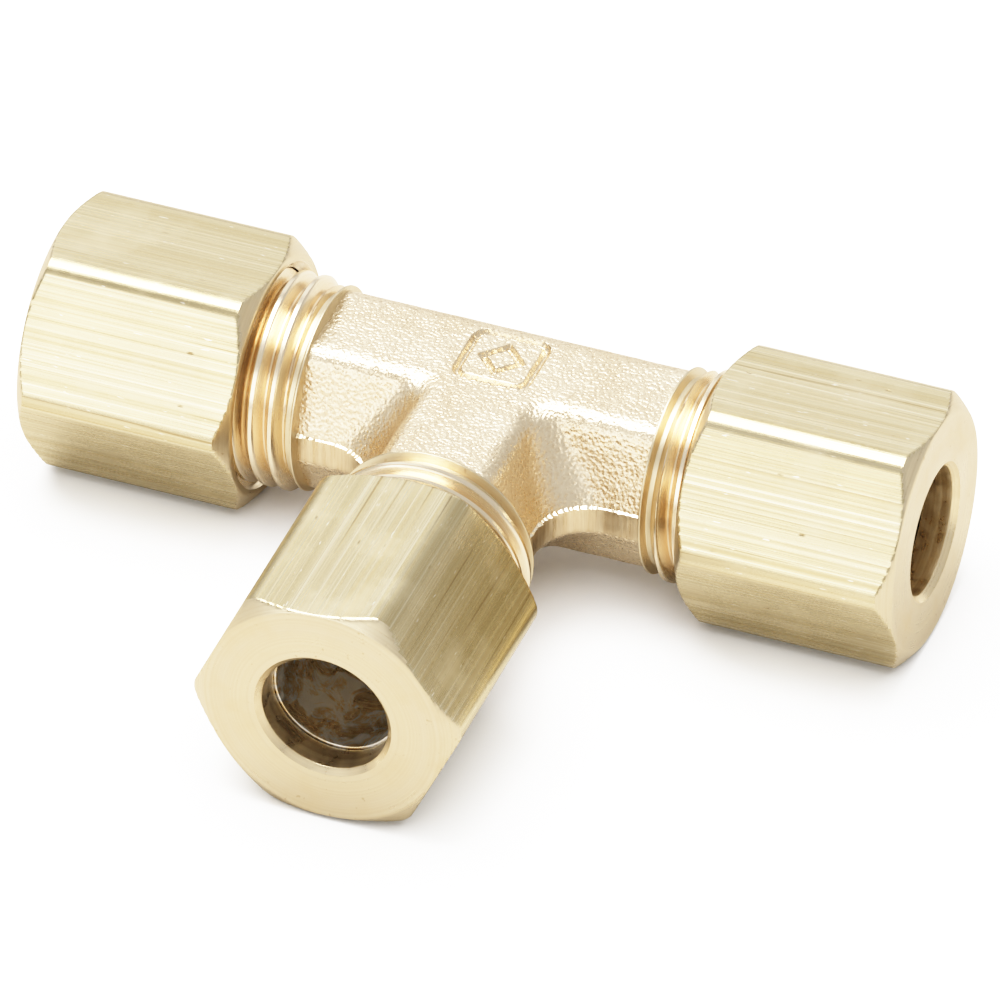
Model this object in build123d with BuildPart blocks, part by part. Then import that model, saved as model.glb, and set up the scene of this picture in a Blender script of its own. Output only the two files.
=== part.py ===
from build123d import *
import math
import os

# Brass compression union tee for 1/4 inch tube. Millimetres.
# The run lies along X, the branch points to -Y and +Z is up.
# The origin is the point where the three port axes meet.

# standard sizes of the 1/4 inch fitting
ACROSS_FLATS = 12.7
THREAD_RADIUS = 11.1125 / 2
PITCH = 25.4 / 24
TUBE_SOCKET_RADIUS = 3.22
RUN_FLOW_RADIUS = 4.76 / 2
BRANCH_FLOW_RADIUS = 2.25
BRANCH_BORE_START = 0.3

# how far a cutting shape runs on past the face it cuts
OVERCUT = 1.0

# thread form: ridges at the real pitch and depth, with 60 degree flanks and a flat crest
FLANK_SLOPE = math.tan(math.radians(30))
CREST_WIDTH = 0.24
THREAD_DEPTH = 0.6
ROOT_RADIUS = THREAD_RADIUS - THREAD_DEPTH
RIDGES = 7

# tee body, distances along a port axis from the origin
TUBE_STOP = 7.3
SHANK_ROOT = 8.0
SHANK_ROOT_RADIUS = 3.8
SHOULDER = 9.33
FLANGE_END = 9.45
FLANGE_RADIUS = 5.35
NECK_START = 9.6
NECK_RADIUS = ROOT_RADIUS - 0.06
THREAD_START = 9.85
FIRST_CREST = 10.35
CUTTER_RADIUS = 6.0
BODY_END = 17.2
END_CHAMFER = 0.55
MOUTH_RADIUS = 4.6
MOUTH_SLOPE = math.tan(math.radians(20))
MOUTH_DEPTH = (MOUTH_RADIUS - TUBE_SOCKET_RADIUS) / MOUTH_SLOPE

# tee body forging
FLAT_HEIGHT = 4.5
FLAT_HALF_WIDTH = 2.85
BAND_HALF_WIDTH = 4.64
BAND_TOP = 0.4
BAND_BOTTOM = -1.2
CROTCH_RADIUS_BAND = 2.9
CROTCH_RADIUS_FLAT = 1.2
FORGING_ROUND = 1.1
FORGING_LEVELS = 3
ARM_EXTRA = 2.0

# marking frame pressed into the top flat
FRAME_SIZE = 4.1
FRAME_CORNER = 0.8
FRAME_GROOVE = 0.32
FRAME_DEPTH = 0.15

# nut, distances along its axis from the outer face inwards
NUT_LENGTH = 11.63
NUT_HOLE_RADIUS = 3.35
NUT_CORNER_ROUND = 1.2
NUT_FACE_RADIUS = 6.3
NUT_TURNED_RADIUS = 7.4
NUT_FACE_CHAMFER = 0.8
HOLE_CHAMFER = 0.3
NUT_WALL = 1.8
POCKET_RADIUS = 4.25
LIP_START = 4.1
LIP_END = 4.5
LIP_RADIUS = 4.08
NUT_BORE_RADIUS = THREAD_RADIUS + 0.1
RELIEF_RADIUS = NUT_BORE_RADIUS + 0.08
RELIEF_END = 5.6
COUNTERSINK_RADIUS = 6.0

# sleeve, distances along its axis from the nut's outer face inwards
SLEEVE_BORE_RADIUS = 3.25
SLEEVE_RADIUS = 4.2
SLEEVE_START = 1.9
SLEEVE_COLLAR_END = 4.0
SLEEVE_WAIST_RADIUS = 3.98
SLEEVE_WAIST_END = 5.0
SLEEVE_END = 8.4
SLEEVE_NOSE_RADIUS = 3.53
SLEEVE_CHAMFER = 0.25

# Each port: direction of its axis, direction that hexagon angles start from, how far out
# the nut's outer face sits, and the turn of the hexagon.
PORTS = {
    "right": ((1, 0, 0), (0, -1, 0), 23.27, -5.21),
    "left": ((-1, 0, 0), (0, -1, 0), 23.94, 3.93),
    "branch": ((0, -1, 0), (1, 0, 0), 24.47, 4.74),
}


def port_axis(port):
    """The port's centre line, pointing outward."""
    return Axis((0, 0, 0), PORTS[port][0])


def port_plane(port, distance):
    """Plane across a port's axis, its local z pointing outward, turned as the hexagon is."""
    axis, start, _, turn = PORTS[port]
    start = Vector(*start).rotate(port_axis(port), turn)
    return Plane(origin=Vector(*axis) * distance, x_dir=start, z_dir=axis)


def turned(port, points):
    """A solid of revolution on a port's axis, from (distance, radius) points of its outline."""
    axis, start = PORTS[port][:2]
    with BuildPart() as solid:
        with BuildSketch(Plane(origin=(0, 0, 0), x_dir=axis, z_dir=Vector(*axis).cross(Vector(*start)))):
            with BuildLine():
                Polyline(*points, close=True)
            make_face()
        revolve(axis=port_axis(port))
    return solid.part


def tee_outline(half_width, crotch_radius):
    """T-shaped plan outline with rounded crotches, its arms longer than the finished ones."""
    end = SHOULDER + ARM_EXTRA
    corner = half_width + crotch_radius
    with BuildLine() as outline:
        Polyline(
            (corner, -half_width),
            (end, -half_width),
            (end, half_width),
            (-end, half_width),
            (-end, -half_width),
            (-corner, -half_width),
        )
        RadiusArc((-corner, -half_width), (-half_width, -corner), crotch_radius)
        Polyline((-half_width, -corner), (-half_width, -end), (half_width, -end), (half_width, -corner))
        RadiusArc((half_width, -corner), (corner, -half_width), crotch_radius)
    return outline.line


def between(first, last, share):
    """The value a share of the way from the first to the last."""
    return first + (last - first) * share


def forging_half(band_height, flat_height):
    """One half of the forging, from its parting band to its flat, with rounded long edges."""
    end = SHOULDER + ARM_EXTRA
    with BuildPart() as half:
        for level in range(FORGING_LEVELS + 1):
            share = level / FORGING_LEVELS
            with BuildSketch(Plane.XY.offset(between(band_height, flat_height, share))):
                with BuildLine():
                    add(
                        tee_outline(
                            between(BAND_HALF_WIDTH, FLAT_HALF_WIDTH, share),
                            between(CROTCH_RADIUS_BAND, CROTCH_RADIUS_FLAT, share),
                        )
                    )
                make_face()
        loft(ruled=True)
        flat = half.faces().sort_by(lambda face: abs(face.center().Z))[-1]
        long_edges = [
            edge for edge in flat.edges()
            if abs(edge.center().X) < end - 0.01 and edge.center().Y > 0.01 - end
        ]
        fillet(long_edges, FORGING_ROUND)
    return half.part


def shank(port):
    """The turned end of a port: a flange against the forging, a neck and the threaded length."""
    half_crest = CREST_WIDTH / 2
    half_foot = half_crest + THREAD_DEPTH * FLANK_SLOPE
    ridges = []
    for number in range(RIDGES):
        crest = FIRST_CREST + number * PITCH
        ridges += [
            (crest - half_foot, ROOT_RADIUS),
            (crest - half_crest, THREAD_RADIUS),
            (crest + half_crest, THREAD_RADIUS),
            (crest + half_foot, ROOT_RADIUS),
        ]
    outline = [
        (SHANK_ROOT, 0),
        (SHANK_ROOT, SHANK_ROOT_RADIUS),
        (SHOULDER, SHANK_ROOT_RADIUS),
        (SHOULDER, FLANGE_RADIUS),
        (FLANGE_END, FLANGE_RADIUS),
        (NECK_START, NECK_RADIUS),
        (THREAD_START, NECK_RADIUS),
        *ridges,
        (BODY_END, ROOT_RADIUS),
        (BODY_END, 0),
    ]
    reach = CUTTER_RADIUS - THREAD_RADIUS
    end_bevel = [
        (BODY_END - END_CHAMFER - reach, CUTTER_RADIUS),
        (BODY_END + reach, CUTTER_RADIUS),
        (BODY_END + reach, THREAD_RADIUS - END_CHAMFER - reach),
    ]
    with BuildPart() as bevelled:
        add(turned(port, outline))
        add(turned(port, end_bevel), mode=Mode.SUBTRACT)
    return bevelled.part


def port_mouth(flow_radius):
    """Outline of a port's hole outward from the flow passage: tube socket, then coned mouth."""
    return [
        (TUBE_STOP, flow_radius),
        (TUBE_STOP, TUBE_SOCKET_RADIUS),
        (BODY_END - MOUTH_DEPTH, TUBE_SOCKET_RADIUS),
        (BODY_END, MOUTH_RADIUS),
        (BODY_END + OVERCUT, MOUTH_RADIUS),
        (BODY_END + OVERCUT, 0),
    ]


def run_bore():
    """The hole through both run ports."""
    right_side = port_mouth(RUN_FLOW_RADIUS)
    left_side = [(-distance, radius) for distance, radius in reversed(right_side)]
    return turned("right", left_side + right_side)


def branch_bore():
    """The hole down the branch port, started inside the run's flow passage."""
    return turned("branch", [
        (BRANCH_BORE_START, 0),
        (BRANCH_BORE_START, BRANCH_FLOW_RADIUS),
        *port_mouth(BRANCH_FLOW_RADIUS),
    ])


def marking_frame():
    """Shallow rounded-square groove in the middle of the top flat."""
    with BuildPart() as groove:
        with BuildSketch(Plane.XY.offset(FLAT_HEIGHT - FRAME_DEPTH)):
            RectangleRounded(FRAME_SIZE, FRAME_SIZE, FRAME_CORNER)
            inner = FRAME_SIZE - 2 * FRAME_GROOVE
            RectangleRounded(inner, inner, FRAME_CORNER - FRAME_GROOVE, mode=Mode.SUBTRACT)
        extrude(amount=FRAME_DEPTH + OVERCUT)
    return groove.part


def make_tee_body():
    """The one-piece body: a forging with three turned, threaded and drilled ports."""
    arm = 2 * SHOULDER
    with BuildPart() as tee_body:
        add(forging_half(BAND_TOP, FLAT_HEIGHT))
        with BuildSketch(Plane.XY.offset(BAND_BOTTOM)):
            with BuildLine():
                add(tee_outline(BAND_HALF_WIDTH, CROTCH_RADIUS_BAND))
            make_face()
        extrude(amount=BAND_TOP - BAND_BOTTOM)
        add(forging_half(BAND_BOTTOM, -FLAT_HEIGHT))
        with BuildSketch(Plane.XY.offset(-2 * FLAT_HEIGHT)):
            Rectangle(arm, arm)
        extrude(amount=4 * FLAT_HEIGHT, mode=Mode.INTERSECT)
        add(marking_frame(), mode=Mode.SUBTRACT)
        for port in PORTS:
            add(shank(port))
        add(run_bore(), mode=Mode.SUBTRACT)
        add(branch_bore(), mode=Mode.SUBTRACT)
    tee_body.part.label = "tee_body"
    export_step(tee_body.part, "parts/tee_body.step")


def make_nut(port):
    """A long hexagon nut: tube hole, sleeve pocket with its lip, relief and thread bore."""
    face = PORTS[port][2]
    mouth = face - NUT_LENGTH
    with BuildPart() as nut:
        with BuildSketch(port_plane(port, mouth)) as hexagon:
            RegularPolygon(ACROSS_FLATS / 2, 6, major_radius=False)
            fillet(hexagon.vertices(), NUT_CORNER_ROUND)
        extrude(amount=NUT_LENGTH)
        add(
            turned(port, [
                (mouth, 0),
                (mouth, NUT_FACE_RADIUS),
                (mouth + NUT_FACE_CHAMFER, NUT_TURNED_RADIUS),
                (face - NUT_FACE_CHAMFER, NUT_TURNED_RADIUS),
                (face, NUT_FACE_RADIUS),
                (face, 0),
            ]),
            mode=Mode.INTERSECT,
        )
        add(
            turned(port, [
                (mouth - OVERCUT, 0),
                (mouth - OVERCUT, COUNTERSINK_RADIUS),
                (mouth, COUNTERSINK_RADIUS),
                (mouth + COUNTERSINK_RADIUS - NUT_BORE_RADIUS, NUT_BORE_RADIUS),
                (face - RELIEF_END, NUT_BORE_RADIUS),
                (face - RELIEF_END, RELIEF_RADIUS),
                (face - LIP_END, RELIEF_RADIUS),
                (face - LIP_END, LIP_RADIUS),
                (face - LIP_START, LIP_RADIUS),
                (face - LIP_START, POCKET_RADIUS),
                (face - NUT_WALL, POCKET_RADIUS),
                (face - NUT_WALL, NUT_HOLE_RADIUS),
                (face - HOLE_CHAMFER, NUT_HOLE_RADIUS),
                (face, NUT_HOLE_RADIUS + HOLE_CHAMFER),
                (face + OVERCUT, NUT_HOLE_RADIUS + HOLE_CHAMFER),
                (face + OVERCUT, 0),
            ]),
            mode=Mode.SUBTRACT,
        )
    nut.part.label = f"{port}_nut"
    export_step(nut.part, f"parts/{port}_nut.step")


def make_sleeve(port):
    """The tapered sleeve that the nut squeezes onto the tube, its collar held by the lip."""
    face = PORTS[port][2]
    with BuildPart() as sleeve:
        add(turned(port, [
            (face - SLEEVE_START, SLEEVE_BORE_RADIUS),
            (face - SLEEVE_START, SLEEVE_RADIUS - SLEEVE_CHAMFER),
            (face - SLEEVE_START - SLEEVE_CHAMFER, SLEEVE_RADIUS),
            (face - SLEEVE_COLLAR_END, SLEEVE_RADIUS),
            (face - SLEEVE_COLLAR_END, SLEEVE_WAIST_RADIUS),
            (face - SLEEVE_WAIST_END, SLEEVE_WAIST_RADIUS),
            (face - SLEEVE_END, SLEEVE_NOSE_RADIUS),
            (face - SLEEVE_END, SLEEVE_BORE_RADIUS),
        ]))
    sleeve.part.label = f"{port}_sleeve"
    export_step(sleeve.part, f"parts/{port}_sleeve.step")


os.makedirs("parts", exist_ok=True)
make_tee_body()
for port in PORTS:
    make_nut(port)
    make_sleeve(port)
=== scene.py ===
"""Looks of the brass compression union tee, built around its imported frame.

Metres, in the CAD frame: the run lies along X, the branch points to -Y, +Z is up.
"""
import math
import random

import bpy
import bmesh
import numpy as np
from mathutils import Matrix, Vector, noise


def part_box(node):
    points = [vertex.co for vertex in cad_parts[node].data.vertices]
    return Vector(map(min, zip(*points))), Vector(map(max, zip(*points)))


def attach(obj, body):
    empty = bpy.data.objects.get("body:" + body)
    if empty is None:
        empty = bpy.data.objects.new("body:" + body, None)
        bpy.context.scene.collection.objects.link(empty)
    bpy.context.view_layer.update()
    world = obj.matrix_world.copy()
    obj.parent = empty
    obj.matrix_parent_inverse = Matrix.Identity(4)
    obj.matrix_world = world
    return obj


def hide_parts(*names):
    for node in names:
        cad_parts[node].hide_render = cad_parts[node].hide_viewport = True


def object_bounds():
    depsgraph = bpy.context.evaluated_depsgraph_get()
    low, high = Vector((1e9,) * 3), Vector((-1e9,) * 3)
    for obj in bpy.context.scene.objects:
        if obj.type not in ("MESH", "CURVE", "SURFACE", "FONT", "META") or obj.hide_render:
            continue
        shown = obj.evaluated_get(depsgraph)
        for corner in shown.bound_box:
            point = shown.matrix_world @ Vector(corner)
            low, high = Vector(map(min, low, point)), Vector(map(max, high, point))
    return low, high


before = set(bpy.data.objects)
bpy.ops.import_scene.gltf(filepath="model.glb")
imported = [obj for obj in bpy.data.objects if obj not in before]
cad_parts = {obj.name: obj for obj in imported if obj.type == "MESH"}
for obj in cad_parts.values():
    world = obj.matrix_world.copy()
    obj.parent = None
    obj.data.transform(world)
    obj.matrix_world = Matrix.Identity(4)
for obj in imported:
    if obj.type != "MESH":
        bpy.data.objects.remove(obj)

CAD_BOUNDS = [list(corner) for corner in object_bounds()]
MM = 0.001

# thread form, the same as on the CAD parts
PITCH = 25.4 / 24 * MM
THREAD_RADIUS = 11.1125 / 2 * MM
THREAD_DEPTH = 0.6 * MM
CREST_WIDTH = 0.24 * MM
FLANK_SLOPE = math.tan(math.radians(30))
ROOT_RADIUS = THREAD_RADIUS - THREAD_DEPTH
NECK_RADIUS = ROOT_RADIUS - 0.06 * MM
FIRST_CREST = 10.28 * MM
CREST_CLEARANCE = 0.08 * MM
FLANK_CLEARANCE = 0.07 * MM
NUT_MINOR_RADIUS = 5.15 * MM
NUT_GROOVE_RADIUS = THREAD_RADIUS + CREST_CLEARANCE
NUT_GROOVE_WIDTH = CREST_WIDTH - 2 * CREST_CLEARANCE * FLANK_SLOPE + 2 * FLANK_CLEARANCE
THREAD_ROUNDING = 0.05 * MM

# mesh fineness: columns round a full turn, rows across one pitch of thread
COLUMNS = 288
THREAD_ROWS = 22
WELD = 1e-7

# hexagon bar, and the rounding where a turned end cuts it
HALF_FLATS = 12.7 / 2 * MM
BAR_CORNER = 1.2 * MM
CAP_ROUNDING = 0.07 * MM

# each port: outward axis, direction that angles start from, turn of the hexagon and of
# the thread, in degrees
PORTS = {
    "right": ((1, 0, 0), (0, -1, 0), -5.21, -7.3),
    "left": ((-1, 0, 0), (0, -1, 0), 3.93, -58.5),
    "branch": ((0, -1, 0), (1, 0, 0), 4.74, -30.0),
}


# ---------------------------------------------------------------- mesh tools

def port_axes(port):
    """Unit vectors of a port: outward, angle zero, and a quarter turn on."""
    axis, start, _, _ = (np.array(v, float) for v in PORTS[port])
    return axis, start, np.cross(axis, start)


def outer_distance(port, node):
    """How far out along the port's axis a CAD node reaches."""
    axis = port_axes(port)[0]
    low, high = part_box(node)
    return max(float(np.dot(axis, low)), float(np.dot(axis, high)))


def turned_point(port, distance, radius, angle):
    """Points in the frame from distances, radii and angles round a port's axis."""
    axis, start, side = port_axes(port)
    distance, radius, angle = np.broadcast_arrays(distance, radius, angle)
    across = np.cos(angle)[..., None] * start + np.sin(angle)[..., None] * side
    return distance[..., None] * axis + radius[..., None] * across


class Shell:
    """Collects grids of points as quads with a material number, and welds them into one mesh."""

    def __init__(self):
        self.points, self.quads, self.looks = [], [], []
        self.count = 0

    def grid(self, points, look, wrap):
        """points has shape (rows, columns, 3). With wrap, the last column joins the first.
        look is a material number, or one for each quad."""
        rows, columns, _ = points.shape
        index = self.count + np.arange(rows * columns).reshape(rows, columns)
        right = np.roll(index, -1, axis=1) if wrap else index[:, 1:]
        left = index if wrap else index[:, :-1]
        quads = np.stack([left[:-1], right[:-1], right[1:], left[1:]], axis=-1)
        self.points.append(points.reshape(-1, 3))
        self.quads.append(quads.reshape(-1, 4))
        self.looks.append(np.broadcast_to(look, quads.shape[:2]).reshape(-1))
        self.count += rows * columns

    def build(self, name, materials):
        """The welded mesh as an object, without the faces that welding has closed up."""
        points = np.concatenate(self.points)
        quads, looks = np.concatenate(self.quads), np.concatenate(self.looks)
        keys = np.round(points / WELD).astype(np.int64)
        _, first, same = np.unique(keys, axis=0, return_index=True, return_inverse=True)
        points, quads = points[first], same.reshape(-1)[quads]
        faces, kept = [], []
        for quad, look in zip(quads.tolist(), looks.tolist()):
            corners = [v for i, v in enumerate(quad) if v != quad[i - 1]]
            if len(corners) > 2 and len(set(corners)) == len(corners):
                faces.append(corners)
                kept.append(look)
        mesh = bpy.data.meshes.new(name)
        mesh.from_pydata(points.tolist(), [], faces)
        mesh.polygons.foreach_set("material_index", kept)
        for material in materials:
            mesh.materials.append(material)
        piece = bpy.data.objects.new(name, mesh)
        bpy.context.scene.collection.objects.link(piece)
        finish_mesh(mesh)
        return piece


def finish_mesh(mesh, crease=math.radians(38)):
    """Consistent outward normals, smooth shading, sharp only over strong creases."""
    work = bmesh.new()
    work.from_mesh(mesh)
    loose = [v for v in work.verts if not v.link_faces]
    bmesh.ops.delete(work, geom=loose, context="VERTS")
    bmesh.ops.recalc_face_normals(work, faces=work.faces)
    work.to_mesh(mesh)
    work.free()
    mesh.shade_smooth()
    mesh.set_sharp_from_angle(angle=crease)
    mesh.update()


def rounded_outline(points, radius, longest, steps=4):
    """A (distance, radius) outline with its inner corners rounded and its long runs divided."""
    points = [np.array(p, float) for p in points]
    path = [points[0]]
    for before, corner, after in zip(points, points[1:], points[2:]):
        into, out = corner - before, after - corner
        reach = min(radius, 0.45 * np.linalg.norm(into), 0.45 * np.linalg.norm(out))
        start = corner - into / np.linalg.norm(into) * reach
        end = corner + out / np.linalg.norm(out) * reach
        for step in range(steps + 1):
            t = step / steps
            path.append((1 - t) ** 2 * start + 2 * t * (1 - t) * corner + t**2 * end)
    path.append(points[-1])
    divided = [path[0]]
    for before, after in zip(path, path[1:]):
        pieces = max(1, math.ceil(np.linalg.norm(after - before) / longest))
        divided += [before + (after - before) * (k + 1) / pieces for k in range(pieces)]
    return np.array(divided)


def revolve(shell, port, outline, look, limit=None, limited_look=None):
    """Adds an outline turned about a port's axis. limit(angles) caps its radius smoothly, and
    where it does the material is limited_look."""
    angle = 2 * math.pi * np.arange(COLUMNS) / COLUMNS
    distance = np.repeat(outline[:, :1], COLUMNS, axis=1)
    radius = np.repeat(outline[:, 1:], COLUMNS, axis=1)
    if limit is not None:
        cap = limit(angle)[None, :]
        look = np.where(radius[:-1] + radius[1:] < 2 * cap, look, limited_look)
        radius = soft_min(radius, cap, CAP_ROUNDING)
    shell.grid(turned_point(port, distance, radius, angle[None, :]), look, wrap=True)


def soft_min(a, b, width):
    """The smaller of two lengths, rounded off where they cross."""
    share = np.maximum(width - np.abs(a - b), 0) / width
    return np.minimum(a, b) - share**2 * width / 4


def hexagon_radius(turn):
    """Polar radius of the rounded hexagon bar, as a function of the angle."""
    centre = (HALF_FLATS - BAR_CORNER) / math.cos(math.pi / 6)
    contact = math.atan2(centre / 2, HALF_FLATS)

    def radius(angle):
        corner = (angle - math.radians(turn) + math.pi / 6) % (math.pi / 3) - math.pi / 6
        corner = np.abs(corner)
        flat = HALF_FLATS / np.cos(math.pi / 6 - corner)
        arc = centre * np.cos(corner) + np.sqrt(
            np.maximum(BAR_CORNER**2 - (centre * np.sin(corner)) ** 2, 0)
        )
        return np.where(math.pi / 6 - corner > contact, arc, flat)

    return radius


def helical_band(shell, port, profile, start, end, bound, pick, look):
    """Adds a thread between two distances. profile gives the radius over one pitch, and
    bound(distance) the turned surface that the thread runs out into."""
    turn = math.radians(PORTS[port][3])
    share = np.linspace(0, 1, THREAD_ROWS + 1)
    angle = 2 * math.pi * np.arange(COLUMNS + 1) / COLUMNS
    rise = PITCH * (angle - turn) / (2 * math.pi)
    first = math.floor((start - FIRST_CREST - rise.max()) / PITCH) - 1
    last = math.ceil((end - FIRST_CREST - rise.min()) / PITCH) + 1
    for number in range(first, last):
        distance = FIRST_CREST + PITCH * (number + share[:, None]) + rise[None, :]
        distance = np.clip(distance, start, end)
        radius = pick(profile(share)[:, None], bound(distance))
        points = turned_point(port, distance, radius, angle[None, :])
        shell.grid(points, look, wrap=False)


def thread_profile(root, crest, crest_width, rounding):
    """Radius over one pitch, from crest middle to crest middle, with rounded edges."""
    flank = (crest - root) * FLANK_SLOPE

    def radius(share):
        offset = PITCH * np.minimum(share, 1 - share)
        drop = (offset - crest_width / 2) / FLANK_SLOPE
        shape = soft_min(crest + 0 * drop, crest - drop, rounding)
        return -soft_min(-shape, 0 * shape - root, rounding)

    return radius


# ---------------------------------------------------------------- materials


class Look:
    """A brass material under construction: short helpers around its node tree."""

    def __init__(self, name):
        self.material = bpy.data.materials.new(name)
        self.material.use_nodes = True
        self.tree = self.material.node_tree
        self.tree.nodes.clear()
        self.shader = self.node("ShaderNodeBsdfPrincipled")
        self.shader.inputs["Metallic"].default_value = 1.0
        output = self.node("ShaderNodeOutputMaterial")
        self.link(self.shader.outputs["BSDF"], output.inputs["Surface"])
        self.place = self.node("ShaderNodeTexCoord").outputs["Object"]

    def node(self, kind, **settings):
        node = self.tree.nodes.new(kind)
        for name, value in settings.items():
            setattr(node, name, value)
        return node

    def link(self, source, target):
        self.tree.links.new(source, target)

    def math(self, operation, *values):
        """A Math node fed with numbers or sockets."""
        node = self.node("ShaderNodeMath", operation=operation)
        for socket, value in zip(node.inputs, values):
            if isinstance(value, (int, float)):
                socket.default_value = value
            else:
                self.link(value, socket)
        return node.outputs[0]

    def stretched(self, scale, offset=(0, 0, 0)):
        """Object coordinates scaled along each axis, for streaks and grain."""
        node = self.node("ShaderNodeMapping")
        node.inputs["Scale"].default_value = scale
        node.inputs["Location"].default_value = offset
        self.link(self.place, node.inputs["Vector"])
        return node.outputs[0]

    def noise(self, vector, scale=1.0, detail=3.0, roughness=0.5, distortion=0.0):
        node = self.node("ShaderNodeTexNoise")
        self.link(vector, node.inputs["Vector"])
        node.inputs["Scale"].default_value = scale
        node.inputs["Detail"].default_value = detail
        node.inputs["Roughness"].default_value = roughness
        node.inputs["Distortion"].default_value = distortion
        return node.outputs["Fac"]

    def cells(self, vector, scale=1.0, feature="F1"):
        node = self.node("ShaderNodeTexVoronoi", feature=feature)
        self.link(vector, node.inputs["Vector"])
        node.inputs["Scale"].default_value = scale
        return node.outputs["Distance"]

    def spread(self, value, low, high, to_low=0.0, to_high=1.0):
        """A clamped linear map of a value."""
        node = self.node("ShaderNodeMapRange")
        self.link(value, node.inputs["Value"])
        for name, number in (
            ("From Min", low), ("From Max", high), ("To Min", to_low), ("To Max", to_high)
        ):
            node.inputs[name].default_value = number
        return node.outputs["Result"]

    def blend(self, share, first, second):
        """Mixes two colours, each given as RGB or as a socket."""
        node = self.node("ShaderNodeMix", data_type="RGBA")
        node.clamp_factor = True
        if isinstance(share, (int, float)):
            node.inputs[0].default_value = share
        else:
            self.link(share, node.inputs[0])
        for socket, colour in zip((node.inputs[6], node.inputs[7]), (first, second)):
            if isinstance(colour, tuple):
                socket.default_value = (*colour, 1.0)
            else:
                self.link(colour, socket)
        return node.outputs[2]

    def finish(self, colour, roughness, height, bump_distance):
        """Joins colour, roughness and a bump height in millimetres to the shader."""
        self.link(colour, self.shader.inputs["Base Color"])
        self.link(roughness, self.shader.inputs["Roughness"])
        bump = self.node("ShaderNodeBump")
        bump.inputs["Distance"].default_value = bump_distance
        bump.inputs["Strength"].default_value = 1.0
        self.link(height, bump.inputs["Height"])
        self.link(bump.outputs["Normal"], self.shader.inputs["Normal"])
        return self.material


def drawn_bar(port):
    """Cold-drawn hexagon bar: fine lines along the port's axis, scratches, and dark nicks whose
    darkness is painted shade.
    """
    look = Look(f"drawn_brass_{port}")
    along = 0 if PORTS[port][0][0] else 1

    def lengthwise(across, down):
        scale = [across] * 3
        scale[along] = down
        return look.stretched(tuple(scale))

    lines = look.noise(lengthwise(6800.0, 16.0), detail=3, roughness=0.7)
    bands = look.noise(lengthwise(1500.0, 9.0), detail=2, roughness=0.6)
    hair = look.noise(lengthwise(4600.0, 45.0), detail=1, roughness=0.5)
    grain = look.noise(look.place, scale=7000, detail=2)
    patches = look.noise(look.place, scale=260, detail=4, roughness=0.6)
    nicks = look.spread(look.cells(lengthwise(1300.0, 420.0)), 0.03, 0.10, 1.0, 0.0)
    nicks = look.math("MULTIPLY", nicks, look.spread(patches, 0.50, 0.60))
    scratch = look.spread(look.noise(lengthwise(7500.0, 1300.0), detail=1), 0.74, 0.78)
    tone = look.blend(look.spread(bands, 0.35, 0.68), (0.585, 0.483, 0.28), (0.73, 0.618, 0.396))
    tone = look.blend(look.spread(lines, 0.50, 0.66, 0.0, 0.75), tone, (0.56, 0.43, 0.22))
    tone = look.blend(look.spread(lines, 0.44, 0.32, 0.0, 0.7), tone, (0.93, 0.83, 0.60))
    tone = look.blend(look.spread(hair, 0.68, 0.73, 0.0, 0.75), tone, (0.34, 0.24, 0.11))
    tone = look.blend(look.spread(patches, 0.52, 0.75, 0.0, 0.4), tone, (0.88, 0.76, 0.52))
    tone = look.blend(scratch, tone, (0.97, 0.90, 0.74))
    # dark colour in the pressed-in nicks: painted shade in the dents
    tone = look.blend(nicks, tone, (0.36, 0.25, 0.12))
    rough = look.math("ADD", look.spread(lines, 0.3, 0.7, 0.17, 0.33),
                      look.spread(patches, 0.35, 0.7, -0.03, 0.08))
    height = look.math("ADD", look.math("MULTIPLY", lines, 0.9),
                       look.math("MULTIPLY", grain, 0.2))
    height = look.math("ADD", height, look.math("MULTIPLY", bands, 0.7))
    height = look.math("SUBTRACT", height, look.math("MULTIPLY", nicks, 1.5))
    return look.finish(tone, rough, height, 0.011 * MM)


def lathe_marks(look, port, scale):
    """Coordinates that change only with the distance from a port's axis and along it."""
    axis = np.abs(port_axes(port)[0])
    across = look.node("ShaderNodeVectorMath", operation="MULTIPLY")
    across.inputs[1].default_value = tuple(1 - axis)
    look.link(look.place, across.inputs[0])
    radius = look.node("ShaderNodeVectorMath", operation="LENGTH")
    look.link(across.outputs[0], radius.inputs[0])
    along = look.node("ShaderNodeVectorMath", operation="DOT_PRODUCT")
    along.inputs[1].default_value = tuple(axis)
    look.link(look.place, along.inputs[0])
    marks = look.node("ShaderNodeCombineXYZ")
    look.link(look.math("MULTIPLY", radius.outputs["Value"], scale), marks.inputs["X"])
    look.link(look.math("MULTIPLY", along.outputs["Value"], scale), marks.inputs["Y"])
    return marks.outputs[0]


def turned_face(port):
    """Lathe-turned ends: fine rings round the port's axis."""
    look = Look(f"turned_brass_{port}")
    rings = look.noise(lathe_marks(look, port, 9000.0), detail=4, roughness=0.7)
    wide = look.noise(lathe_marks(look, port, 1500.0), detail=2)
    patches = look.noise(look.place, scale=330, detail=5, roughness=0.65)
    spots = look.spread(look.noise(look.place, scale=2600, detail=2), 0.70, 0.76, 0.0, 0.6)
    tone = look.blend(look.spread(rings, 0.35, 0.7), (0.69, 0.567, 0.378), (0.775, 0.666, 0.473))
    tone = look.blend(look.spread(wide, 0.4, 0.65, 0.0, 0.4), tone, (0.74, 0.60, 0.37))
    tone = look.blend(look.spread(patches, 0.5, 0.75, 0.0, 0.5), tone, (0.70, 0.54, 0.31))
    tone = look.blend(spots, tone, (0.50, 0.36, 0.19))
    rough = look.math("ADD", look.spread(rings, 0.3, 0.7, 0.26, 0.40),
                      look.spread(patches, 0.35, 0.7, -0.04, 0.10))
    height = look.math("ADD", rings, look.math("MULTIPLY", patches, 0.6))
    height = look.math("ADD", height, wide)
    return look.finish(tone, rough, height, 0.008 * MM)


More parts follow.
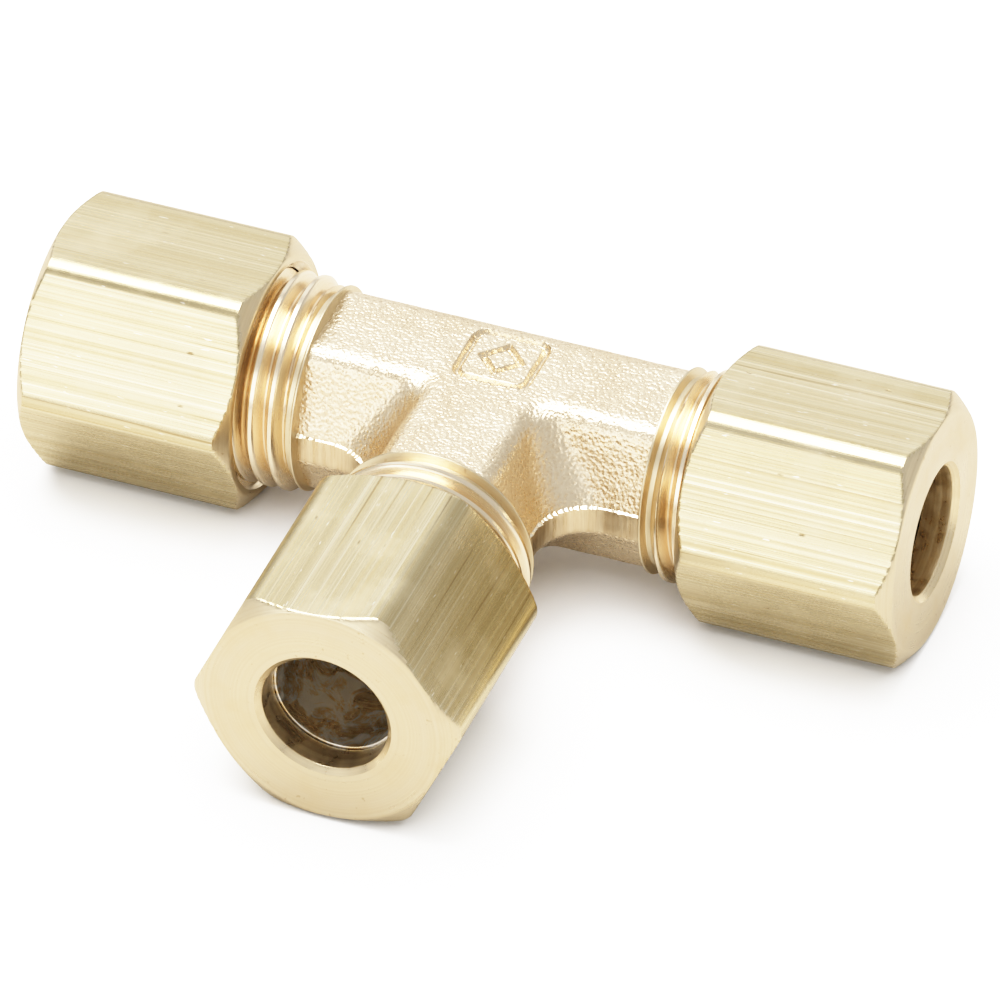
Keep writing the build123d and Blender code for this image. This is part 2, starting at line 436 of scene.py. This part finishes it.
def cut_thread(port):
    """Cut threads: smooth golden flanks, a painted highlight on the crests and painted shade in the
    valleys.
    """
    look = Look(f"thread_brass_{port}")
    marks = look.noise(lathe_marks(look, port, 9000.0), detail=3, roughness=0.6)
    patches = look.noise(look.place, scale=420, detail=3)
    across = look.node("ShaderNodeSeparateXYZ")
    look.link(lathe_marks(look, port, 1.0), across.inputs[0])
    # brighter towards the crests and darker towards the roots: painted highlight on the crests,
    # painted shade in the valleys
    crest = look.spread(across.outputs["X"], ROOT_RADIUS, THREAD_RADIUS)
    tone = look.blend(crest, (0.80, 0.60, 0.38), (0.93, 0.80, 0.60))
    tone = look.blend(look.spread(patches, 0.45, 0.7, 0.0, 0.4), tone, (0.84, 0.66, 0.42))
    tone = look.blend(look.spread(marks, 0.5, 0.75, 0.0, 0.4), tone, (0.66, 0.47, 0.26))
    rough = look.math("ADD", look.spread(marks, 0.3, 0.7, 0.16, 0.26),
                      look.spread(patches, 0.35, 0.7, -0.02, 0.08))
    return look.finish(tone, rough, marks, 0.004 * MM)


def bored_hole(name, port, painted_light_from):
    """Drilled and bored surfaces: duller, browner brass with tool rings and pale near-white patches
    of painted light.
    """
    look = Look(f"{name}_{port}")
    marks = look.noise(lathe_marks(look, port, 5200.0), detail=3, roughness=0.6)
    film = look.noise(look.place, scale=620, detail=5, roughness=0.7, distortion=1.2)
    tone = look.blend(look.spread(marks, 0.35, 0.7), (0.76, 0.60, 0.37), (0.90, 0.75, 0.50))
    # pale near-white patches: painted light on the bore walls
    tone = look.blend(look.spread(film, painted_light_from, painted_light_from + 0.1), tone, (0.97, 0.96, 0.94))
    rough = look.math("ADD", look.spread(film, 0.4, 0.7, 0.26, 0.55),
                      look.spread(marks, 0.35, 0.7, -0.03, 0.05))
    return look.finish(tone, rough, marks, 0.008 * MM)


def forged_skin():
    """Shot-blasted forging: overlapping small dents, pinkish gold, with painted shade in the dent
    pits and painted glints on the raised grain.
    """
    look = Look("forged_brass")
    dents = look.cells(look.place, scale=5400, feature="SMOOTH_F1")
    small = look.noise(look.place, scale=8500, detail=2, roughness=0.6)
    broad = look.noise(look.place, scale=240, detail=4, roughness=0.6)
    tone = look.blend(look.spread(broad, 0.35, 0.68), (0.84, 0.67, 0.45), (0.92, 0.77, 0.56))
    # darker towards the middle of each dent: painted shade in the pits
    tone = look.blend(look.spread(dents, 0.10, 0.45, 0.45, 0.0), tone, (0.68, 0.49, 0.28))
    # bright specks where the fine grain stands highest: painted glints
    tone = look.blend(look.spread(small, 0.60, 0.78, 0.0, 0.6), tone, (0.98, 0.90, 0.76))
    rough = look.math("ADD", look.spread(small, 0.3, 0.7, 0.22, 0.36),
                      look.spread(broad, 0.35, 0.7, -0.03, 0.06))
    height = look.math("ADD", dents, look.math("MULTIPLY", small, 0.4))
    return look.finish(tone, rough, height, 0.048 * MM)


def trimmed_band():
    """The sheared parting band: short lines square to the parting plane."""
    look = Look("trimmed_brass")
    shear = look.noise(look.stretched((4800.0, 4800.0, 260.0)), detail=4, roughness=0.7)
    broad = look.noise(look.place, scale=380, detail=4)
    tone = look.blend(look.spread(shear, 0.35, 0.7), (0.58, 0.42, 0.24), (0.80, 0.665, 0.46))
    tone = look.blend(look.spread(broad, 0.45, 0.7, 0.0, 0.5), tone, (0.76, 0.61, 0.40))
    rough = look.math("ADD", look.spread(shear, 0.3, 0.7, 0.24, 0.36),
                      look.spread(broad, 0.35, 0.7, -0.02, 0.05))
    return look.finish(tone, rough, shear, 0.015 * MM)


def die_fin():
    """The ragged fin at the parting line, burnished bright."""
    look = Look("fin_brass")
    worn = look.noise(look.place, scale=2400, detail=3)
    tone = look.blend(look.spread(worn, 0.35, 0.65), (0.86, 0.70, 0.46), (0.97, 0.88, 0.70))
    rough = look.spread(worn, 0.3, 0.7, 0.18, 0.30)
    return look.finish(tone, rough, worn, 0.01 * MM)


# ---------------------------------------------------------------- nuts

# distances from the nut's outer face inwards, as on the CAD nut
NUT_LENGTH = 11.63 * MM
NUT_INSIDE = [
    (5.6, 5.716), (4.5, 5.716), (4.5, 4.08), (4.1, 4.08), (4.1, 4.25), (1.8, 4.25),
    (1.8, 3.35), (0.3, 3.35), (0.0, 3.65),
]
NUT_OUTSIDE = [(0.0, 6.3), (0.8, 7.4), (10.83, 7.4), (11.63, 6.3)]
THREAD_MOUTH = 5.95 * MM
FACE_RING = 5.0 * MM
FACE_EDGE = 6.0 * MM


def make_nut(port, materials):
    """A closed mesh: turned inside, hexagon outside, helical female thread."""
    node = f"{port}_nut"
    face = outer_distance(port, node)
    mouth = face - NUT_LENGTH
    relief = face - NUT_INSIDE[0][0] * MM
    shell = Shell()
    inside = rounded_outline([(face - x * MM, r * MM) for x, r in NUT_INSIDE], 0.06 * MM, 0.6 * MM)
    revolve(shell, port, inside, 2)
    ring = [(face, NUT_INSIDE[-1][1] * MM), (face, FACE_RING), (face, FACE_EDGE)]
    revolve(shell, port, rounded_outline(ring, 0.0, 0.15 * MM), 1)
    outside = [(face, FACE_EDGE)]
    outside += [(face - x * MM, r * MM) for x, r in NUT_OUTSIDE]
    outside += [(mouth, THREAD_MOUTH)]
    outline = rounded_outline(outside, 0.12 * MM, 0.2 * MM)
    revolve(shell, port, outline, 1, hexagon_radius(PORTS[port][2]), 0)

    def bound(distance):
        into_mouth = THREAD_MOUTH - (distance - mouth)
        into_relief = NUT_INSIDE[0][1] * MM - 3 * (relief - distance)
        return np.maximum(into_mouth, into_relief)

    groove = thread_profile(NUT_MINOR_RADIUS, NUT_GROOVE_RADIUS, NUT_GROOVE_WIDTH, THREAD_ROUNDING)
    helical_band(shell, port, groove, mouth, relief, bound, np.maximum, 3)
    piece = shell.build(f"{port}_nut_shape", materials)
    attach(piece, f"{port}_nut")
    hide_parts(node)
    return piece


# ---------------------------------------------------------------- sleeves

SLEEVE = [
    (1.9, 3.25), (1.9, 3.95), (2.15, 4.2), (4.0, 4.2), (4.0, 3.98), (5.0, 3.98),
    (8.4, 3.53), (8.4, 3.25),
]


def make_sleeve(port, materials):
    node = f"{port}_sleeve"
    start = outer_distance(port, node) + SLEEVE[0][0] * MM
    outline = [(start - x * MM, r * MM) for x, r in SLEEVE]
    middle = (start - 5.0 * MM, SLEEVE[0][1] * MM)
    shell = Shell()
    outline = rounded_outline([middle] + outline + [middle], 0.05 * MM, 0.4 * MM)
    revolve(shell, port, outline, 0)
    piece = shell.build(f"{port}_sleeve_shape", materials)
    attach(piece, f"{port}_sleeve")
    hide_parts(node)
    return piece


# ---------------------------------------------------------------- tee body

TUBE_STOP = 7.3 * MM
SHOULDER = 9.33 * MM
THREAD_START = 9.85 * MM
BODY_END = 17.2 * MM
SHANK_OUTSIDE = [
    (7.3, 3.75), (9.33, 3.8), (9.33, 5.35), (9.45, 5.35), (9.6, 4.896), (9.85, 4.896),
]
SHANK_INSIDE = [(17.2, 4.93), (17.2, 4.6), (13.41, 3.22), (7.3, 3.22), (7.3, 3.75)]


def make_shank(port, materials):
    """Flange, neck, helical male thread, coned mouth and tube socket of one port."""
    shell = Shell()
    outside = [(x * MM, r * MM) for x, r in SHANK_OUTSIDE]
    inside = [(x * MM, r * MM) for x, r in SHANK_INSIDE]
    revolve(shell, port, rounded_outline(outside, 0.04 * MM, 0.5 * MM), 1)
    revolve(shell, port, rounded_outline(inside, 0.04 * MM, 0.5 * MM), 2)

    def bound(distance):
        out_of_neck = NECK_RADIUS + (distance - THREAD_START) * 1.5
        into_end = inside[0][1] + (BODY_END - distance)
        return np.minimum(out_of_neck, into_end)

    ridge = thread_profile(ROOT_RADIUS, THREAD_RADIUS, CREST_WIDTH, THREAD_ROUNDING)
    helical_band(shell, port, ridge, THREAD_START, BODY_END, bound, np.minimum, 0)
    piece = shell.build(f"{port}_shank", materials)
    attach(piece, "tee_body")
    return piece


# forging, as on the CAD body: (height, half width) of its upper and lower halves
BAND = (-1.2 * MM, 0.4 * MM)
BAND_HALF_WIDTH = 4.64 * MM
FLAT_HALF_WIDTH = 2.85 * MM
FLAT_HEIGHT = 4.5 * MM
CROTCH_BAND = 2.9 * MM
CROTCH_FLAT = 1.2 * MM
FORGING_ROUND = 1.1 * MM
ARM_EXTRA = 0.6 * MM
VOXEL = 0.13 * MM
SMOOTHINGS = 9
RUN_FLOW_RADIUS = 2.38 * MM
BRANCH_FLOW_RADIUS = 2.25 * MM
BRANCH_BORE_START = 0.3 * MM
BORED_REACH = 3.35 * MM
MARK_DEPTH = 0.28 * MM
MARK_REACH = 2.45 * MM
MARK_LAYER = FLAT_HEIGHT - 0.25 * MM


def half_levels(band):
    """(height, half width) from the parting band to the flat, with a rounded long edge."""
    side = 1 if band > 0 else -1
    rise = FLAT_HEIGHT - abs(band)
    slope = math.atan2(rise, BAND_HALF_WIDTH - FLAT_HALF_WIDTH)
    trim = FORGING_ROUND * math.tan(slope / 2)
    centre = FLAT_HEIGHT - FORGING_ROUND
    levels = [(band, BAND_HALF_WIDTH)]
    for step in range(7):
        angle = math.pi / 2 - slope + slope * step / 6
        levels.append((
            side * (centre + FORGING_ROUND * math.sin(angle)),
            FLAT_HALF_WIDTH - trim + FORGING_ROUND * math.cos(angle),
        ))
    return levels


def tee_outline(half_width, steps=10):
    """Points of the T-shaped plan outline at one height, with rounded crotches."""
    share = (half_width - FLAT_HALF_WIDTH) / (BAND_HALF_WIDTH - FLAT_HALF_WIDTH)
    crotch = CROTCH_FLAT + share * (CROTCH_BAND - CROTCH_FLAT)
    corner = half_width + crotch
    end = SHOULDER + ARM_EXTRA
    arc = [math.pi / 2 * step / steps for step in range(steps + 1)]
    right = [(corner - crotch * math.sin(a), -corner + crotch * math.cos(a)) for a in arc]
    points = [(end, half_width), (end, -half_width)]
    points += right + [(half_width, -end)]
    points += [(-x, y) for x, y in reversed(points[2:])]
    points += [(-end, -half_width), (-end, half_width)]
    return points


def stacked(levels):
    """A closed bmesh through T outlines at rising heights."""
    work = bmesh.new()
    rings = []
    for height, half_width in levels:
        rings.append([work.verts.new((x, y, height)) for x, y in tee_outline(half_width)])
    for lower, upper in zip(rings, rings[1:]):
        for i, vert in enumerate(lower):
            work.faces.new((lower[i - 1], vert, upper[i], upper[i - 1]))
    work.faces.new(rings[0])
    work.faces.new(rings[-1])
    bmesh.ops.triangulate(work, faces=work.faces)
    bmesh.ops.recalc_face_normals(work, faces=work.faces)
    return work


def apply_modifier(piece, kind, **settings):
    """Adds one modifier and bakes its result into the mesh."""
    modifier = piece.modifiers.new(kind.title(), kind)
    for name, value in settings.items():
        setattr(modifier, name, value)
    shown = piece.evaluated_get(bpy.context.evaluated_depsgraph_get())
    mesh = bpy.data.meshes.new_from_object(shown)
    piece.modifiers.clear()
    piece.data = mesh


def new_object(name, work):
    mesh = bpy.data.meshes.new(name)
    work.to_mesh(mesh)
    work.free()
    piece = bpy.data.objects.new(name, mesh)
    bpy.context.scene.collection.objects.link(piece)
    return piece


def bore_cutter(name, ports, outline):
    """A closed turned solid, used to cut the passages. outline is (distance, radius)."""
    shell = Shell()
    for port in ports:
        ring = [(outline[0][0], 0.0)] + outline + [(outline[-1][0], 0.0)]
        revolve(shell, port, np.array(ring), 0)
    return shell.build(name, [])


def frame_groove(x, y):
    """Depth share of the pressed mark at a place on the top flat: a rounded-square groove
    around a plain lozenge."""
    half, corner = 1.89 * MM, 0.64 * MM
    inner = half - corner
    qx, qy = abs(x) - inner, abs(y) - inner
    edge = math.hypot(max(qx, 0), max(qy, 0)) + min(max(qx, qy), 0) - corner
    lozenge = (abs(x) + abs(y) - 1.05 * MM) / math.sqrt(2)
    nearest = min(abs(edge) / (0.23 * MM), abs(lozenge) / (0.20 * MM))
    return max(0.0, 1 - nearest**2)


def cut_square(work, port):
    """Cuts an arm of the forging off square at its shoulder."""
    axis = port_axes(port)[0]
    geometry = work.verts[:] + work.edges[:] + work.faces[:]
    bmesh.ops.bisect_plane(
        work, geom=geometry, plane_co=tuple(axis * SHOULDER), plane_no=tuple(axis), clear_outer=True
    )
    rim = [edge for edge in work.edges if edge.is_boundary]
    bmesh.ops.holes_fill(work, edges=rim, sides=0)


def press_mark(work):
    """Refines the middle of the top flat and presses the mark into it."""
    near = {
        v for v in work.verts
        if max(abs(v.co.x), abs(v.co.y)) < MARK_REACH and v.co.z > MARK_LAYER
    }
    edges = [e for e in work.edges if e.verts[0] in near and e.verts[1] in near]
    bmesh.ops.subdivide_edges(work, edges=edges, cuts=2, use_grid_fill=True)
    for vert in work.verts:
        x, y, z = vert.co
        if z > MARK_LAYER and max(abs(x), abs(y)) < MARK_REACH:
            vert.co.z -= MARK_DEPTH * frame_groove(x, y)


def make_forging(materials):
    """The forged T between the shanks, with a trimmed parting band and drilled passages."""
    levels = half_levels(BAND[0])[::-1] + half_levels(BAND[1])
    piece = new_object("forging", stacked(levels))
    apply_modifier(piece, "REMESH", mode="VOXEL", voxel_size=VOXEL)
    work = bmesh.new()
    work.from_mesh(piece.data)
    for _ in range(SMOOTHINGS):
        bmesh.ops.smooth_vert(
            work, verts=work.verts, factor=0.5, use_axis_x=True, use_axis_y=True, use_axis_z=True
        )
    for vert in work.verts:
        wave = noise.noise(vert.co * 900) * 0.02 * MM + noise.noise(vert.co * 3000) * 0.008 * MM
        vert.co += vert.normal * wave
    press_mark(work)
    for port in PORTS:
        cut_square(work, port)
    bmesh.ops.recalc_face_normals(work, faces=work.faces)
    work.to_mesh(piece.data)
    work.free()

    far, socket = 11 * MM, 3.3 * MM
    run = [
        (-far, socket), (-TUBE_STOP, socket), (-TUBE_STOP, RUN_FLOW_RADIUS),
        (TUBE_STOP, RUN_FLOW_RADIUS), (TUBE_STOP, socket), (far, socket),
    ]
    branch = [
        (BRANCH_BORE_START, BRANCH_FLOW_RADIUS), (TUBE_STOP, BRANCH_FLOW_RADIUS),
        (TUBE_STOP, socket), (far, socket),
    ]
    for name, port, outline in (("run_cut", "right", run), ("branch_cut", "branch", branch)):
        cutter = bore_cutter(name, [port], outline)
        apply_modifier(piece, "BOOLEAN", operation="DIFFERENCE", solver="EXACT", object=cutter)
        bpy.data.objects.remove(cutter)

    mesh = piece.data
    mesh.materials.clear()
    for material in materials:
        mesh.materials.append(material)
    for face in mesh.polygons:
        x, y, z = face.center
        bored = math.hypot(y, z) < BORED_REACH or (y < 0 and math.hypot(x, z) < BORED_REACH)
        trimmed = BAND[0] < z < BAND[1] and abs(face.normal.z) < 0.3
        face.material_index = 2 if bored else 1 if trimmed else 0
    finish_mesh(mesh)
    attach(piece, "tee_body")
    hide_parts("tee_body")
    return piece


FIN_ROOT = 0.25 * MM
FIN_REACH = 0.05 * MM
FIN_RAGGED = 0.12 * MM
FIN_HALF_HEIGHT = 0.10 * MM
FIN_SWELL = 0.06 * MM
FIN_WANDER = 0.03 * MM
FIN_STEP = 0.07 * MM


def make_burr(name, path, seed, material):
    """A thin ragged fin where the two halves of the forging die met."""
    draw = random.Random(seed)
    steps = [Vector(p) for p in path]
    raw = [draw.random() for _ in steps]
    work = bmesh.new()
    rings = []
    for i, point in enumerate(steps):
        ahead = steps[min(i + 1, len(steps) - 1)] - steps[max(i - 1, 0)]
        out = Vector((-ahead.y, ahead.x)).normalized()
        rough = (raw[i - 1] + raw[i] + raw[(i + 1) % len(raw)]) / 3
        fin = point + out * (FIN_REACH + FIN_RAGGED * rough**2 * (1 + raw[i]))
        root = point - out * FIN_ROOT
        height = BAND[1] + FIN_WANDER * (raw[i] - 0.5)
        half = FIN_HALF_HEIGHT + FIN_SWELL * rough
        rings.append([
            work.verts.new((root.x, root.y, height - half)),
            work.verts.new((fin.x, fin.y, height)),
            work.verts.new((root.x, root.y, height + half)),
        ])
    for before, after in zip(rings, rings[1:]):
        for k in range(3):
            work.faces.new((before[k - 1], before[k], after[k], after[k - 1]))
    work.faces.new(rings[0])
    work.faces.new(rings[-1])
    bmesh.ops.recalc_face_normals(work, faces=work.faces)
    piece = new_object(name, work)
    piece.data.materials.append(material)
    finish_mesh(piece.data)
    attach(piece, "tee_body")


def burr_paths():
    """The three stretches of the parting line between the shoulders, in plan."""
    outline = [Vector(p) for p in tee_outline(BAND_HALF_WIDTH, 40)]
    half = len(outline) // 2
    crotch = outline[1:half]
    back = [outline[-1], outline[0]]
    stretches = {}
    end = SHOULDER - 0.02 * MM
    for name, points in (("back", back), ("right", crotch), ("left", outline[half:-1])):
        path = []
        for before, after in zip(points, points[1:]):
            count = max(1, round((after - before).length / FIN_STEP))
            path += [before.lerp(after, k / count) for k in range(count)]
        stretches[name] = [p for p in path if abs(p.x) < end and abs(p.y) < end]
    return stretches


# ---------------------------------------------------------------- stage

# painted shade: the darker floor colour that the metal mirrors
SHADED_FLOOR_IN_METAL = (0.45, 0.42, 0.37)


def make_floor(height):
    """Plain pale floor, which the metal mirrors less brightly than the camera sees it: painted
    shade for the floor under the fitting.
    """
    work = bmesh.new()
    bmesh.ops.create_grid(work, x_segments=8, y_segments=8, size=1.5)
    piece = new_object("floor", work)
    piece.location.z = height
    look = Look("floor")
    look.shader.inputs["Metallic"].default_value = 0.0
    haze = look.noise(look.place, scale=3, detail=2)
    tone = look.blend(look.spread(haze, 0.3, 0.7), (0.90, 0.90, 0.90), (0.92, 0.92, 0.92))
    # darker floor colour in reflections only: painted shade on the metal's lower faces
    mirrored = look.node("ShaderNodeLightPath").outputs["Is Glossy Ray"]
    tone = look.blend(mirrored, tone, SHADED_FLOOR_IN_METAL)
    rough = look.spread(haze, 0.3, 0.7, 0.75, 0.85)
    piece.data.materials.append(look.finish(tone, rough, haze, 0.01 * MM))


def make_light(name, direction, distance, size, power, glossy=True):
    """A soft panel that faces the origin. Without glossy, metal doesn't mirror it."""
    data = bpy.data.lights.new(name, "AREA")
    data.shape = "RECTANGLE"
    data.size, data.size_y = size
    data.energy = power
    light = bpy.data.objects.new(name, data)
    towards = Vector(direction).normalized()
    light.location = towards * distance
    light.rotation_euler = towards.to_track_quat("Z", "Y").to_euler()
    light.visible_camera = False
    light.visible_glossy = glossy
    bpy.context.scene.collection.objects.link(light)


def make_world():
    world = bpy.data.worlds.new("studio")
    world.use_nodes = True
    background = world.node_tree.nodes["Background"]
    background.inputs["Color"].default_value = (1.0, 0.99, 0.97, 1)
    background.inputs["Strength"].default_value = 0.84
    bpy.context.scene.world = world


BRIGHTEST = 3.0
FILM_STOPS = (0.05, 0.12, 0.25, 0.4, 0.6, 0.85, 1.2, 1.6, 2.2)


def film_response(light):
    """How bright the film shows a scene light."""
    return 1 - math.exp(-1.2 * light**1.2)


def set_film():
    """A soft film curve for each colour channel, so that strong highlights pale out."""
    settings = bpy.context.scene.view_settings
    settings.view_transform = "Standard"
    settings.use_curve_mapping = True
    curves = settings.curve_mapping
    curves.white_level = (BRIGHTEST, BRIGHTEST, BRIGHTEST)
    curve = curves.curves[3]
    for point, light in zip(list(curve.points), (0.0, BRIGHTEST)):
        point.location = (light / BRIGHTEST, film_response(light))
    for light in FILM_STOPS:
        curve.points.new(light / BRIGHTEST, film_response(light))
    curves.update()


def make_camera():
    """Long lens from the front right, looking down at the fitting."""
    turn, rise, roll = math.radians(21.5162), math.radians(38.7277), math.radians(-0.4011)
    target, distance = Vector((0.00197, -0.00537, 0.0)), 0.811
    right = Vector((math.cos(turn), math.sin(turn), 0))
    back = Vector((
        math.sin(turn) * math.cos(rise), -math.cos(turn) * math.cos(rise), math.sin(rise)
    ))
    up = back.cross(right)
    across = math.cos(roll) * right + math.sin(roll) * up
    upright = -math.sin(roll) * right + math.cos(roll) * up
    data = bpy.data.cameras.new("camera")
    data.sensor_width, data.lens = 36, 581.5
    data.clip_start, data.clip_end = 0.01, 10
    camera = bpy.data.objects.new("camera", data)
    matrix = Matrix((across, upright, back)).transposed().to_4x4()
    matrix.translation = target + back * distance
    camera.matrix_world = matrix
    bpy.context.scene.collection.objects.link(camera)
    bpy.context.scene.camera = camera


# ---------------------------------------------------------------- assembly

# where the pale patches of painted light start in each bore; the branch bore, which faces the key
# lamp, gets the most
PAINTED_LIGHT_FROM = {"right": 0.58, "left": 0.58, "branch": 0.45}
HOLE_PAINTED_LIGHT_FROM = 0.72
skin, band, fin = forged_skin(), trimmed_band(), die_fin()
bores = {}
for port in PORTS:
    bar, lathe, threads = drawn_bar(port), turned_face(port), cut_thread(port)
    hole = bored_hole("hole_brass", port, HOLE_PAINTED_LIGHT_FROM)
    bores[port] = bored_hole("bored_brass", port, PAINTED_LIGHT_FROM[port])
    make_nut(port, [bar, lathe, hole, threads])
    make_sleeve(port, [bores[port]])
    make_shank(port, [threads, lathe, bores[port]])
make_forging([skin, band, bores["branch"]])
for seed, (name, path) in enumerate(burr_paths().items()):
    make_burr(f"parting_fin_{name}", path, seed, fin)

make_floor(CAD_BOUNDS[0][2] - 0.01 * MM)
make_world()
make_light("key", (-0.29, -0.88, 0.36), 0.6, (0.55, 0.30), 1.4)
make_light("top", (-0.29, 0.12, 0.95), 0.6, (0.40, 0.50), 6.3)
make_light("back", (-0.29, 0.85, 0.45), 0.9, (0.9, 0.42), 1.2)
make_light("floor_fill", (0.1, -0.1, 1.0), 1.0, (1.2, 1.2), 34, glossy=False)
set_film()
make_camera()
